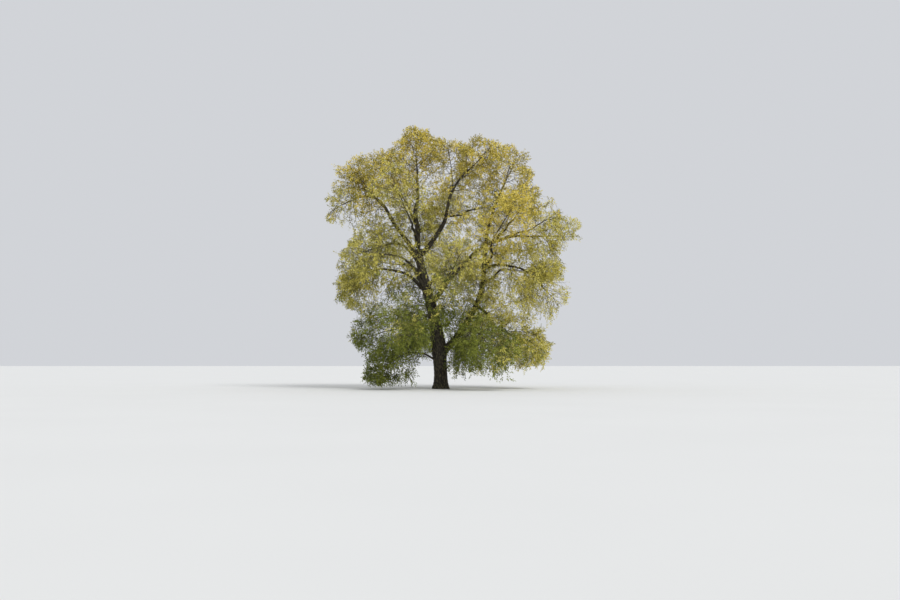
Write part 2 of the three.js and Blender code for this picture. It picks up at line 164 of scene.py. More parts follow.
# from, share of its length, heading there, goal, heading there, radii
limbTable = {
    "leader_middle": ("trunk", 1, (150, 88), "crown_top", (100, 84), (0.225, 0.078)),
    "leader_left": ("trunk", 0.94, (183, 46), "left_tip", (184, -24), (0.19, 0.062)),
    "leader_right": ("trunk", 0.955, (352, 30), "top_right", (5, 42), (0.2, 0.07)),
    "leader_back": ("trunk", 0.9, (118, 72), "top_left", (168, 52), (0.15, 0.066)),
    "left_riser": ("leader_left", 0.56, (172, 62), "left_shoulder", (160, 50), (0.09, 0.054)),
    "right_riser": ("leader_right", 0.7, (90, 70), "top_middle", (120, 78), (0.08, 0.054)),
    "cross_limb": ("leader_right", 0.5, (5, -6), "inner_right", (24, 12), (0.085, 0.054)),
    "leader_front": ("leader_middle", 0.12, (245, 40), "upper_front", (238, 48), (0.12, 0.062)),
    "leader_rear": ("leader_middle", 0.2, (60, 38), "upper_back", (56, 34), (0.12, 0.062)),
    "left_arch_upper": ("trunk", 0.72, (178, 68), "left_dome", (178, -12), (0.15, 0.066)),
    "left_arch_front": ("trunk", 0.69, (205, 46), "left_front", (218, 2), (0.14, 0.062)),
    "left_arch_lower": ("trunk", 0.66, (176, 54), "left_droop", (180, -36), (0.15, 0.062)),
    "back_left_bough": ("trunk", 0.78, (140, 34), "back_left", (130, 8), (0.14, 0.062)),
    "back_bough": ("trunk", 0.7, (78, 42), "back_middle", (84, 20), (0.15, 0.066)),
    "front_bough": ("trunk", 0.56, (285, 40), "front_middle", (284, 16), (0.15, 0.066)),
    "front_left_bough": ("trunk", 0.45, (248, 34), "low_front_left", (250, -12), (0.12, 0.062)),
    "back_low_bough": ("trunk", 0.42, (112, 34), "back_low", (108, -10), (0.12, 0.062)),
    "low_left_bough": ("trunk", 0.39, (180, 30), "low_left", (180, -8), (0.11, 0.058)),
    "low_left_arm": ("trunk", 0.195, (190, 14), "left_skirt", (196, -28), (0.08, 0.054)),
    "cross_bough": ("trunk", 0.6, (10, 47), (3.0, 0.95, 10.7), (6, 36), (0.19, 0.14)),
    "far_right_arm": ("cross_bough", 1, (6, 36), "far_right", (352, 2), (0.139, 0.062)),
    "far_right_upper": ("far_right_arm", 0.4, (346, 34), "right_upper", (348, 34), (0.08, 0.054)),
    "right_sub_stem": ("far_right_arm", 0.27, (350, 68), "right_shoulder", (5, 60), (0.1, 0.058)),
    "right_stem": ("trunk", 0.245, (352, 34), "right_dome", (5, 66), (0.27, 0.085)),
    "right_front_bough": ("right_stem", 0.55, (318, 36), "front_right", (300, 36), (0.11, 0.058)),
    "right_arch_upper": ("right_stem", 0.56, (4, 14), "right_droop", (2, -36), (0.12, 0.058)),
    "right_arch_back": ("right_stem", 0.47, (52, 14), "right_back", (56, 2), (0.12, 0.062)),
    "right_arch_lower": ("right_stem", 0.33, (356, -8), "low_right", (358, -24), (0.11, 0.058)),
    "right_low_back": ("right_stem", 0.27, (66, 12), "low_back_right", (66, -10), (0.12, 0.062)),
    "right_low_front": ("right_stem", 0.24, (300, 14), "low_front_right", (290, -22), (0.11, 0.058)),
}
crook = 0.022
crookWaves = (11, 8)       # radians of each wave along a limb
limbPull = 0.36
entryDepth = 0.86
rootDepth = 0.4            # where a bough's mesh starts, as a share of its parent's radius
collar = {"swelling": 0.35, "length": 2.2}
firstLimbSeed = 20

# centre and half sizes of each mass, how its twigs bend up or down, its leaf, and how full of leaf it is
massTable = {
    "crown_top": ((-1.85, 0.4, 18.1), (1.95, 2.9, 2), 0.125, "gold", 1.8),
    "top_left": ((-4.15, 2.4, 16.4), (2, 2.9, 2.15), 0.075, "gold", 0.85),
    "top_middle": ((0.7, 2.5, 18), (1.8, 2.8, 1.7), 0.1, "gold", 1.5),
    "top_right": ((3.1, -1.6, 17.25), (1.85, 2.8, 1.85), 0.075, "gold", 1.4),
    "right_dome": ((5.3, 0.9, 16.7), (1.95, 2.9, 2.1), 0.075, "gold", 0.85),
    "right_shoulder": ((6.5, -1.4, 14.45), (1.7, 2.8, 2), 0.05, "gold", 0.85),
    "left_shoulder": ((-6.05, -0.8, 15.7), (2.4, 3, 2), 0.05, "gold", 0.95),
    "left_tip": ((-7.5, -0.6, 13.85), (1.5, 2.3, 1.25), -0.15, "olive", 0.8),
    "upper_front": ((-3.05, -4.2, 14.1), (2.05, 2.3, 2), 0.025, "olive", 0.5),
    "upper_back": ((1, 4.8, 14.1), (2.35, 2.4, 2.25), 0.025, "olive", 0.9),
    "inner_right": ((3.75, 2, 14.1), (1.6, 1.8, 1.5), 0.025, "olive", 0.8),
    "right_upper": ((8.15, -1.2, 12.9), (1.75, 2.6, 1.4), 0, "olive", 0.8),
    "far_right": ((9.3, 0.8, 11.75), (1.6, 2.5, 1.45), -0.075, "olive", 0.85),
    "front_right": ((4.75, -4.3, 12.4), (2.25, 2.3, 1.85), 0.025, "gold", 1.0),
    "left_dome": ((-5.7, 0.5, 10.6), (2.4, 3, 2.1), -0.05, "olive", 1.0),
    "left_front": ((-4.85, -4.3, 9.8), (2.25, 2.3, 1.9), -0.075, "olive", 0.7),
    "left_droop": ((-6.6, 0.2, 7.85), (1.7, 2.7, 1.95), -0.2, "olive", 1.4),
    "back_left": ((-4.3, 5, 10), (2.45, 2.35, 2.35), -0.05, "olive", 0.9),
    "back_middle": ((0.5, 5.9, 9.9), (2.55, 2.35, 2.35), 0, "olive", 1.05),
    "front_middle": ((1, -5.5, 8.8), (2.55, 2.35, 2.35), 0, "olive", 0.8),
    "right_back": ((6.2, 4.6, 9.4), (2.35, 2.25, 2.35), -0.05, "olive", 0.95),
    "right_droop": ((7.95, 0.3, 7.8), (1.95, 2.9, 2.55), -0.175, "olive", 1.1),
    "low_front_left": ((-2.1, -5.4, 4.9), (2.45, 2.25, 2.1), -0.1, "green", 1.3),
    "back_low": ((-1.7, 5.8, 4.8), (2.65, 2.35, 2.25), -0.1, "green", 1.1),
    "low_left": ((-4.2, 0.8, 4.4), (2.45, 2.8, 2.1), -0.075, "green", 1.8),
    "left_skirt": ((-4, -1.3, 1.9), (1.8, 2.15, 1.65), -0.125, "green", 2.2),
    "low_right": ((6.1, -0.2, 3.7), (2.1, 2.8, 1.85), -0.1, "olive", 1.5),
    "low_back_right": ((3.9, 5, 4.2), (2.45, 2.35, 2.25), -0.1, "green", 1.1),
    "low_front_right": ((3.3, -4.5, 3.4), (2.45, 2.25, 2.1), -0.125, "green", 1.6),
}
massNames = list(massTable)
centres, sizes, lifts, leafKinds, fills = [np.array(column) for column in zip(*massTable.values())]


# the way from a spot inside a mass's space to its edge, along a heading
def reachTo(mass, spot, heading):
    offset = (spot - centres[mass]) / sizes[mass]
    step = heading / sizes[mass]
    along = (offset * step).sum(-1)
    stride = (step * step).sum(-1)
    left = along * along - stride * ((offset * offset).sum(-1) - 1)
    return (np.sqrt(np.maximum(0, left)) - along) / stride


def limbLine(start, leave, end, arrive, pulls, wander, seed):
    t = np.linspace(0, 1, lineSteps + 1)[:, None]
    left = 1 - t
    second, third = start + leave * pulls[0], end - arrive * pulls[1]
    course = left ** 3 * start + 3 * left ** 2 * t * second + 3 * left * t * t * third + t ** 3 * end
    side, over = across(unit(end - start))
    stream = seeded(seed)
    phases = [next(stream) * tau, next(stream) * tau]
    swing = wander * np.linalg.norm(end - start) * np.sin(math.pi * t) ** 2
    waves = [np.sin(turns * t + phase) for turns, phase in zip(crookWaves, phases)]
    return Line(course + swing * (waves[0] * side + waves[1] * over))


def trunkRadius(along, angle):
    shape = trunkShape
    share = along / trunkLine.length
    height = share * shape["fork"][2]
    stem = shape["footRadius"] + (shape["forkRadius"] - shape["footRadius"]) * share ** shape["taperPower"]
    offFork = (height - shape["lowForkHeight"]) / shape["lowForkSpread"]
    swelling = shape["lowForkSwelling"] * np.exp(-(offFork ** 2))
    nearGround = np.exp(-height / shape["flareHeight"])
    wave = np.cos(shape["buttresses"] * angle + shape["buttressTurn"])
    lobes = 1 + shape["buttressDepth"] * wave * nearGround
    return stem * (1 + shape["flare"] * nearGround) * lobes + swelling


def trunkRadiusAt(share):
    return trunkRadius(np.asarray(share) * trunkLine.length, 0)


trunkLine = limbLine(np.zeros(3), up, np.array(trunkShape["fork"]), headingOf(*trunkShape["forkHeading"]),
                     trunkShape["pulls"], 0, firstLimbSeed)
limbs = {"trunk": {"line": trunkLine, "goal": None, "radius": trunkRadiusAt}}


def addLimb(name, parentName, at, leaving, goal, arriving, radii):
    parent = limbs[parentName]
    goesOn = at == 1
    leave = parent["line"].heading(1) if goesOn else headingOf(*leaving)
    start = parent["line"].at(at)
    arrive = headingOf(*arriving)
    if isinstance(goal, str):
        mass = massNames.index(goal)
        tip = centres[mass] - arrive * entryDepth * reachTo(mass, centres[mass], arrive)
    else:
        mass, tip = None, np.array(goal)
    pull = limbPull * np.linalg.norm(tip - start)
    line = limbLine(start, leave, tip, arrive, (pull, pull), crook, firstLimbSeed + len(limbs))
    swelling = 0 if goesOn else collar["swelling"]
    swellingEnd = collar["length"] * radii[0] / line.length

    def radius(share):
        return (radii[0] + (radii[1] - radii[0]) * share) * (1 + swelling * np.exp(-share / swellingEnd))

    root = 0 if goesOn else rootDepth * float(parent["radius"](at))
    limbs[name] = {"line": line, "goal": mass, "radius": radius, "root": root}


for limbName, limbRow in limbTable.items():
    addLimb(limbName, *limbRow)
print("limb lines:", len(limbs))


# Modelling

# even rings along a line from a first one, a model's step or so apart
def ringsAlong(line, first, model):
    length = line.length - first
    count = max(6, round(length / model["step"]))
    step = length / count
    return step, first + np.arange(count + 1) * step


# a straight pole, drawn out of a disc ring by ring and narrowed at each, then smoothed
def drawPole(name, model, radii, step):
    radii = radii.tolist()
    bpy.ops.object.select_all(action="DESELECT")
    ringLeft = (4 + 2 * math.cos(tau / model["sides"])) / 6  # what smoothing leaves of a ring's radius
    bpy.ops.mesh.primitive_circle_add(vertices=model["sides"], radius=radii[0] / ringLeft, fill_type="NGON")
    pole = bpy.context.object
    pole.name = pole.data.name = name
    bpy.ops.object.mode_set(mode="EDIT")
    bpy.ops.mesh.select_all(action="SELECT")
    for before, after in zip(radii, radii[1:]):
        bpy.ops.mesh.extrude_region_move(TRANSFORM_OT_translate={"value": (0, 0, step)})
        bpy.ops.transform.resize(value=(after / before, after / before, 1), center_override=(0, 0, 0))
    bpy.ops.mesh.select_all(action="SELECT")
    bpy.ops.mesh.normals_make_consistent(inside=False)
    bpy.ops.object.mode_set(mode="OBJECT")
    smooth = pole.modifiers.new("smooth", "SUBSURF")
    smooth.levels = smooth.render_levels = model["levels"]
    bpy.ops.object.modifier_apply(modifier=smooth.name)
    bpy.ops.object.shade_smooth()
    return pole


# Bark: long plates with deep furrows between them, wider and deeper on thick wood
bark = {
    "plateWidth": 0.085,
    "plateLength": 0.34,
    "smallest": 0.35,      # the plates on the thinnest wood, as a share of full ones
    "growsOver": 0.4,      # metres of radius that would add one to that share
    "depth": 0.034,
    "depthShare": 0.11,    # of the radius, at most
    "furrow": 0.42,
    "weave": 0.32,
    "weavePitch": 0.6,
    "sunk": 0.7,           # share of the relief that goes inwards
    "lumps": 0.22,
    "lumpPitch": 2.7,
}
capShare = 0.5             # of a pole's radius: nearer its middle is cap, which stays as it is
noise.seed_set(731)        # without it noise_vector differs from run to run


def barkRelief(places, radii):
    heights, furrows = np.empty(len(places)), np.empty(len(places))
    for i, ((x, y, z), radius) in enumerate(zip(places.tolist(), radii.tolist())):
        scale = min(1.0, bark["smallest"] + radius / bark["growsOver"])
        width, length = bark["plateWidth"] * scale, bark["plateLength"] * scale
        spot = Vector((x / width, y / width, z / length))
        spot += bark["weave"] * noise.noise_vector(spot * bark["weavePitch"])
        near = noise.voronoi(spot)[0]
        plate = min(1.0, (near[1] - near[0]) / bark["furrow"])
        plate = plate * plate * (3 - 2 * plate)
        depth = min(bark["depth"], bark["depthShare"] * radius)
        heights[i] = depth * (plate - bark["sunk"] + bark["lumps"] * noise.noise(spot * bark["lumpPitch"]))
        furrows[i] = plate
    return heights, furrows


def addAttribute(piece, name, kind, values):
    made = piece.data.attributes.new(name, kind, "POINT")
    key = "vector" if kind == "FLOAT_VECTOR" else "value"
    made.data.foreach_set(key, np.asarray(values, np.float32).ravel())


# bends a straight pole along a limb's line and roughens it with bark
def bendPole(piece, line, first, sectionAt):
    corners = np.empty(len(piece.data.vertices) * 3)
    piece.data.vertices.foreach_get("co", corners)
    x, y, z = corners.reshape(-1, 3).T
    along, angle, radius = z + first, np.arctan2(y, x), np.hypot(x, y)
    places = np.column_stack([radius * np.cos(angle), radius * np.sin(angle), along])
    height, furrow = barkRelief(places, radius)
    onSide = radius > capShare * sectionAt(along, angle)
    radius = np.where(onSide, sectionAt(along, angle, radius) + height, radius)
    shares, sides, overs = line.sides(lineSteps)
    share = np.clip(along / line.length, 0, 1)
    side, over = lookUp(share, shares, sides), lookUp(share, shares, overs)
    middle = line.at(share) + line.heading(share) * (along - share * line.length)[:, None]
    bent = middle + side * (radius * np.cos(angle))[:, None] + over * (radius * np.sin(angle))[:, None]
    piece.data.vertices.foreach_set("co", bent.ravel())
    piece.data.update()
    addAttribute(piece, "barkPlace", "FLOAT_VECTOR", places)
    addAttribute(piece, "plate", "FLOAT", furrow)
    return piece


# the trunk, from its flat cut at the ground to its fork
trunkModel = {"sides": 20, "step": 0.32, "levels": 3, "belowGround": 0.32}


def makeTrunk():
    first = -trunkModel["belowGround"]
    step, rings = ringsAlong(trunkLine, first, trunkModel)
    radii = trunkRadius(np.clip(rings, 0, trunkLine.length), 0.0)
    pole = drawPole("trunk_bark", trunkModel, radii, step)

    def section(along, angle, radius=None):
        return trunkRadius(np.clip(along, 0, trunkLine.length), -angle)

    bendPole(pole, trunkLine, first, section)
    bpy.ops.object.mode_set(mode="EDIT")
    bpy.ops.mesh.select_all(action="SELECT")
    bpy.ops.mesh.bisect(plane_co=(0, 0, 0), plane_no=(0, 0, 1), clear_inner=True, use_fill=True)
    bpy.ops.object.mode_set(mode="OBJECT")
    return pole


# the boughs, each with a collar where it leaves
boughModel = {
    "stoutFrom": 0.18,
    "thin": {"sides": 8, "step": 0.42, "levels": 2},
    "stout": {"sides": 10, "step": 0.38, "levels": 2},
    "right_stem": {"sides": 10, "step": 0.4, "levels": 3},
    "collarFlare": 0.3,
    "collarLength": 0.9,
}


def makeBough(name, limb):
    line, first = limb["line"], limb["root"]
    rootRadius = float(limb["radius"](0.0))
    model = boughModel.get(name) or boughModel["stout" if rootRadius > boughModel["stoutFrom"] else "thin"]
    step, rings = ringsAlong(line, first, model)
    flareEnd = boughModel["collarLength"] * rootRadius
    flare = boughModel["collarFlare"] if first > 0 else 0  # none where it goes on from a tip
    radii = limb["radius"](rings / line.length) * (1 + flare * np.exp(-(rings - first) / flareEnd))
    pole = drawPole(name + "_bark", model, radii, step)

    def section(along, angle, radius=None):
        return limb["radius"](np.clip(along / line.length, 0, 1)) if radius is None else radius

    return bendPole(pole, line, first, section)


barkPieces = {"trunk": makeTrunk()}
for limbName, limb in limbs.items():
    if limbName != "trunk":
        barkPieces[limbName] = makeBough(limbName, limb)
print("trunk and boughs:", sum(len(piece.data.polygons) for piece in barkPieces.values()), "faces")


# Growth: shoots are rows of points, with a radius at each, and belong to a mass

# each kind of shoot: where it sits on its parent, how it leans near that one's foot and tip, its length,
# its radii at root and tip, and its points and sides
shootRules = {
    "branch": {"count": 26, "firstAt": 0.05, "lastAt": 0.95, "tilt": (80, 30), "tiltSpread": 12,
               "turnSpread": 50, "reach": (0.78, 0.98), "shortest": 0.6, "radii": (0.5, 0.006),
               "stoutness": (0.007, 0.013), "points": 8, "sides": 5, "crook": 0.05},
    "side": {"firstAt": 0.25, "lastAt": 0.97, "spacing": 0.48, "jitter": 0.8, "tilt": (66, 44),
             "tiltSpread": 14, "turnSpread": 60, "length": (1.1, 2.6), "bulge": (0.12, 0.7), "rise": 0.02,
             "radii": (0.26, 0.005), "stoutness": (0.006, 0.011), "points": 8, "sides": 5, "crook": 0.06},
    "branchlet": {"firstAt": 0.14, "lastAt": 1.0, "spacing": 0.15, "bias": 0.72, "shortening": 0.3,
                  "tilt": (62, 36), "tiltSpread": 16, "turnSpread": 60, "length": (0.5, 1.1), "rise": -0.03,
                  "overReach": 0.15, "radii": (0.009, 0.003), "points": 3, "sides": 3, "crook": 0.06},
    "twig": {"firstAt": 0.2, "lastAt": 1.0, "spacing": 0.19, "bias": 0.85, "shortening": 0.4,
             "tilt": (58, 34), "tiltSpread": 16, "turnSpread": 60, "length": (0.26, 0.56), "rise": -0.07,
             "overReach": 0.2, "radii": (0.0035, 0.0018), "points": 2, "sides": 3, "crook": 0},
}
shootTaper = 0.8
shootWaves = 6             # radians of the waves along a shoot
draw = np.random.default_rng(731)


def spread(most, count):
    return most * draw.uniform(-1, 1, count)


def ease(share):
    share = np.clip(share, 0, 1)
    return share * share * (3 - 2 * share)


# places and headings on rows of points, at a share of each
def alongShoots(shoots, index, share):
    points = shoots["points"][index]
    steps = points.shape[1] - 1
    step = np.minimum((share * steps).astype(int), steps - 1)
    rows = np.arange(len(index))
    before, after = points[rows, step], points[rows, step + 1]
    part = (share * steps - step)[:, None]
    radii = shoots["radii"][index]
    radius = radii[rows, step] * (1 - part[:, 0]) + radii[rows, step + 1] * part[:, 0]
    return before + (after - before) * part, unit(after - before), radius


# shoots that leave in a heading, wander, and bend up or down by the share "lift" of their length
def drawShoots(start, heading, length, lift, root, rule, mass):
    t = np.linspace(0, 1, rule["points"])[None, :, None]
    side, over = across(heading)
    count = len(start)
    phase = draw.uniform(0, tau, (2, count, 1, 1))
    swing = rule["crook"] * length[:, None, None] * t
    points = start[:, None] + heading[:, None] * length[:, None, None] * t
    points = points + up * (lift * length)[:, None, None] * t * t
    for begin, way in zip(phase, (side, over)):
        points = points + swing * (np.sin(shootWaves * t + begin) - np.sin(begin)) * way[:, None]
    radii = root[:, None] + (rule["radii"][1] - root)[:, None] * t[0, :, 0][None] ** shootTaper
    return {"points": points, "radii": radii, "length": length, "mass": mass}


def tiltsOf(rule, part):
    low, high = rule["tilt"]
    return np.radians(low + (high - low) * part + spread(rule["tiltSpread"], len(part)))


def turnsOf(rule, turns):
    return turns + np.radians(spread(rule["turnSpread"], len(turns)))


# a shoot is no stouter than its parent or its own length allows
def rootOf(rule, parentRadius, length):
    thin, grows = rule["stoutness"]
    return np.minimum(rule["radii"][0] * parentRadius, thin + grows * length)


# counts of things along their parents: the parent of each, and its turn on it
def spreadOn(counts):
    index = np.repeat(np.arange(len(counts)), counts)
    return index, np.arange(len(index)) - np.repeat(np.cumsum(counts) - counts, counts)


def keepShoots(shoots, kept):
    return {key: value[kept] for key, value in shoots.items()}


def joinShoots(*parts):
    return {key: np.concatenate([part[key] for part in parts]) for key in parts[0]}


# the stem of each mass goes on from its bough's tip
stemRule = {"reach": 0.97, "radii": (0.97, 0.009), "inside": 0.06, "points": 12, "sides": 7, "crook": 0.03}


def growStems():
    inside, rows = stemRule["inside"], []
    for limb in limbs.values():
        if limb["goal"] is not None:
            tip, ahead = limb["line"].at(1), limb["line"].heading(1)
            length = stemRule["reach"] * reachTo(limb["goal"], tip, ahead) + inside
            radius = stemRule["radii"][0] * limb["radius"](1.0)
            rows.append((tip - ahead * inside, ahead, length, radius, limb["goal"]))
    start, heading, length, radius, mass = [np.array(column) for column in zip(*rows)]
    return drawShoots(start, heading, length, lifts[mass], radius, stemRule, mass)


def growBranches(stems):
    rule = shootRules["branch"]
    index, order = spreadOn(np.full(len(stems["mass"]), rule["count"]))
    along = order / (rule["count"] - 1)
    share = rule["firstAt"] + (rule["lastAt"] - rule["firstAt"]) * along
    start, ahead, radius = alongShoots(stems, index, share)
    tilt = tiltsOf(rule, along)
    heading = leaned(ahead, tilt, turnsOf(rule, goldenAngle * order))
    mass = stems["mass"][index]
    reach = draw.uniform(*rule["reach"], len(index)) * reachTo(mass, start, heading)
    length = np.maximum(rule["shortest"], reach)
    return drawShoots(start, heading, length, lifts[mass], rootOf(rule, radius, length), rule, mass)


# side branches along the boughs and the trunk, which keep the inside of the crown in leaf
sideStarts = {"trunk": 0.36, "right_stem": 0.2, "cross_bough": 0.25}


# how far spots are out from each mass's middle, 1 at its edge, squared
def farOut(spots):
    return (((spots[:, None] - centres) / sizes) ** 2).sum(-1)


def growSides():
    rule = shootRules["side"]
    parts = []
    for name, limb in limbs.items():
        line = limb["line"]
        first = sideStarts.get(name, rule["firstAt"])
        count = max(2, round(line.length * (rule["lastAt"] - first) / rule["spacing"]))
        jitter = draw.uniform(0, rule["jitter"], count)
        share = first + (rule["lastAt"] - first) * (np.arange(count) + jitter) / count
        part = (share - first) / (1 - first)
        tilt = tiltsOf(rule, part)
        heading = leaned(line.heading(share), tilt, turnsOf(rule, goldenAngle * np.arange(count)))
        start = line.at(share)
        radius = limb["radius"](share)
        foot, grows = rule["bulge"]
        reach = draw.uniform(*rule["length"], count) * np.sin(math.pi * (foot + grows * part)) ** 0.5
        mass = farOut(start + heading).argmin(axis=1)
        lift, root = lifts[mass] + rule["rise"], rootOf(rule, radius, reach)
        parts.append(drawShoots(start, heading, reach + radius, lift, root, rule, mass))
    return joinShoots(*parts)


# places between the masses that are in leaf too: middle, half sizes and number of branches
leafyPlaces = [
    ((-4.9, 0.2, 13), (1.3, 2.2, 1), 9),
    ((7.4, 0.2, 10.7), (1.6, 2.2, 1.2), 14),
    ((5.2, 0, 6.3), (1.9, 2.6, 1.5), 14),
    ((1.7, 0, 6.2), (1.3, 3, 2.7), 20),
    ((2, 0.3, 15.2), (2.3, 2.6, 1.9), 14),
    ((-3.9, 0.3, 7.6), (1.7, 2.2, 1.2), 10),
    ((1.4, -1.6, 2.6), (1, 1.6, 1.3), 10),
    ((-1.9, 0, 3.2), (1, 2, 1.3), 8),
    ((-0.9, 0, 14.3), (0.8, 1.8, 1.3), 12),
    ((-1, 0.2, 12.2), (0.8, 1.8, 0.9), 7),
    ((3.3, -0.3, 7.6), (1.2, 2.2, 1.2), 16),
    ((4.2, -0.4, 10.2), (0.8, 1.8, 1), 9),
    ((-2.8, 0, 12.3), (0.7, 1.6, 0.9), 8),
    ((-6.6, -0.5, 16.4), (0.9, 1.6, 0.7), 9),
    ((9, 0.2, 9.1), (0.7, 1.8, 0.6), 9),
    ((7.3, -0.2, 3.3), (0.8, 2, 0.8), 6),
    ((-6.8, 0.2, 7.6), (0.7, 1.8, 1), 8),
]
reachRule = {
    **shootRules["side"],
    "from": (0.2, 0.98),       # shares of a limb where such a branch may leave
    "starts": 60,
    "ahead": 0.2,              # the least share of its way that goes with the limb
    "backCost": 1.5,           # metres that it counts as farther otherwise
    "near": 0.9,
    "nearCost": 4,             # and if nearer than that
    "sag": -0.12,
    "radii": (0.3, 0.005),
}


def growReaches():
    rule = reachRule
    share = np.linspace(*rule["from"], rule["starts"])
    found = [(limb["line"].at(share), limb["line"].heading(share), limb["radius"](share))
             for limb in limbs.values()]
    places, ahead, radii = [np.concatenate(column) for column in zip(*found)]
    spots = []
    for middle, half, count in leafyPlaces:
        way = unit(draw.normal(0, 1, (count, 3))) * draw.uniform(0, 1, (count, 1)) ** (1 / 3)
        spots.append(np.array(middle) + np.array(half) * way)
    spots = np.concatenate(spots)
    way = spots[:, None] - places[None]
    far = np.linalg.norm(way, axis=-1)
    backward = (way * ahead[None]).sum(-1) < rule["ahead"] * far
    nearest = np.argmin(far + rule["backCost"] * backward + rule["nearCost"] * (far < rule["near"]), axis=1)
    rows = np.arange(len(spots))
    way, length, radius = way[rows, nearest], far[rows, nearest], radii[nearest]
    heading = unit(way / length[:, None] - up * rule["sag"])
    root, mass = rootOf(rule, radius, length), farOut(spots).argmin(axis=1)
    return drawShoots(places[nearest], heading, length, rule["sag"], root, rule, mass)


# branchlets and twigs: places between neighbours, and shares of the rule's length and of the parent's radius
finer = {"jitter": (0.1, 0.9), "longest": 1.1, "shortest": 0.4, "stoutness": 0.9}


# finer shoots on rows of parents, kept within the reach of their mass
def growOn(parents, rule):
    spacing = rule["spacing"] / np.sqrt(fills[parents["mass"]])
    stretch = rule["lastAt"] - rule["firstAt"]
    counts = np.maximum(2, np.round(parents["length"] * stretch / spacing)).astype(int)
    index, order = spreadOn(counts)
    part = ((order + draw.uniform(*finer["jitter"], len(index))) / counts[index]) ** rule["bias"]
    start, ahead, radius = alongShoots(parents, index, rule["firstAt"] + stretch * part)
    tilt = tiltsOf(rule, part)
    turn = turnsOf(rule, goldenAngle * order + draw.uniform(0, tau, len(counts))[index])
    heading = leaned(ahead, tilt, turn)
    mass = parents["mass"][index]
    low, high = rule["length"]
    length = draw.uniform(low, high, len(index)) * (finer["longest"] - rule["shortening"] * part)
    inside = (((start - centres[mass]) / sizes[mass]) ** 2).sum(-1) < 1
    reach = np.where(inside, reachTo(mass, start, heading) + rule["overReach"], length)
    length = np.maximum(np.minimum(length, reach), finer["shortest"] * low)
    root = np.minimum(rule["radii"][0], finer["stoutness"] * radius)
    grown = drawShoots(start, heading, length, lifts[mass] + rule["rise"], root, rule, mass)
    return {**grown, "parent": index}


# where sky shows through the crown: middle and half size on the plane through the trunk, as the camera sees
# it, and the share of twigs missing there
skyGaps = [
    ((-7.3, 12.7), (0.8, 0.7), 0.7),
    ((-4.9, 13.5), (0.6, 0.4), 0.4),
    ((-0.1, 16.6), (1.3, 0.75), 0.45),
    ((1.9, 15.2), (1, 1.2), 0.35),
    ((2.2, 12.1), (0.8, 0.6), 0.3),
    ((-3.4, 7.3), (1.7, 1.2), 0.25),
    ((-5.6, 6.9), (1.2, 0.5), 0.6),
    ((-1.65, 10), (0.4, 1), 0.75),
    ((-1.2, 8.2), (0.4, 1), 0.6),
    ((-0.8, 6.4), (0.4, 0.8), 0.4),
    ((-3.7, 9), (1, 0.6), 0.5),
    ((5.9, 9.5), (0.9, 0.7), 0.5),
    ((4.9, 7.7), (0.4, 1.1), 0.45),
    ((8.7, 6.6), (0.5, 1.2), 0.5),
    ((5.5, 4.6), (0.7, 0.5), 0.6),
    ((10, 12.4), (0.9, 0.7), 0.35),
    ((7.9, 14), (0.8, 0.6), 0.45),
    ((5.6, 15.9), (0.5, 0.6), 0.5),
    ((-7.3, 14.4), (0.4, 0.4), 0.5),
    ((-0.3, 3.7), (0.5, 0.8), 0.75),
]


# the crown's outline on the same plane, from the low left round to the low right
crownOutline = np.array([
    (-5.8, -0.6), (-5.8, 1.3), (-5.6, 2), (-6.5, 3), (-6.9, 3.9), (-6.8, 5.1), (-6.4, 5.9),
    (-6.7, 6), (-7.4, 6.5), (-7.8, 7), (-8, 7.9), (-8, 8.9), (-7.8, 10.3), (-7.2, 11),
    (-6.8, 11.8), (-7.6, 12.4), (-8.8, 12.7), (-8.8, 13.5), (-8.6, 14.2), (-8.3, 15.2),
    (-8.1, 16.4), (-7.9, 17.1), (-7, 17.4), (-6.3, 17.8), (-5.7, 18.2), (-5, 17.9),
    (-4.3, 18.3), (-3.7, 18.7), (-3.4, 19.1), (-2.8, 19.6), (-2, 20.1), (-1.2, 20),
    (-0.7, 19.3), (-0.3, 18.7), (0.7, 19.1), (1.6, 18.9), (2.3, 19.1), (3, 19.2), (3.7, 19.1),
    (4.2, 18.6), (4.8, 18.7), (5.5, 18.6), (6.3, 18.2), (6.8, 17.3), (6.8, 16.4), (7.4, 15.3),
    (7.7, 14.3), (8.5, 14.1), (9.2, 13.4), (9.9, 12.9), (10.9, 12.7), (10.6, 11.9), (9.8, 10.8),
    (9, 10.3), (9.5, 9.3), (9.5, 8.1), (9.8, 7.1), (9.1, 6.2), (8.4, 5.2), (7.5, 4.8),
    (8, 3.9), (8.3, 2.9), (7.9, 2), (7.6, -0.6),
])
# twigs thin out across the outline, from a little inside it, and stems and branches end before it
outlineEdge = {"from": -0.15, "softness": 0.4, "ragged": 0.38, "pitch": (3.1, 3.9), "slant": (1.1, 1.3),
               "shootsEnd": -0.2}
fewestSteps = 2      # a shortened shoot keeps at least these steps of its line
gapEdge = 1.6        # where a gap has faded out, if its own edge is at 1
lowestTip = 0.25


def inView(spots):
    away, height = camera["place"][1:]
    share = away / (away - spots[:, 1])
    return np.stack([spots[:, 0] * share, height + (spots[:, 2] - height) * share], axis=1)


def openSky(spots):
    seen = inView(spots)
    missing = np.zeros(len(spots))
    for middle, half, share in skyGaps:
        depth = (((seen - middle) / half) ** 2).sum(1)
        missing = np.maximum(missing, share * ease(gapEdge - depth))
    return missing


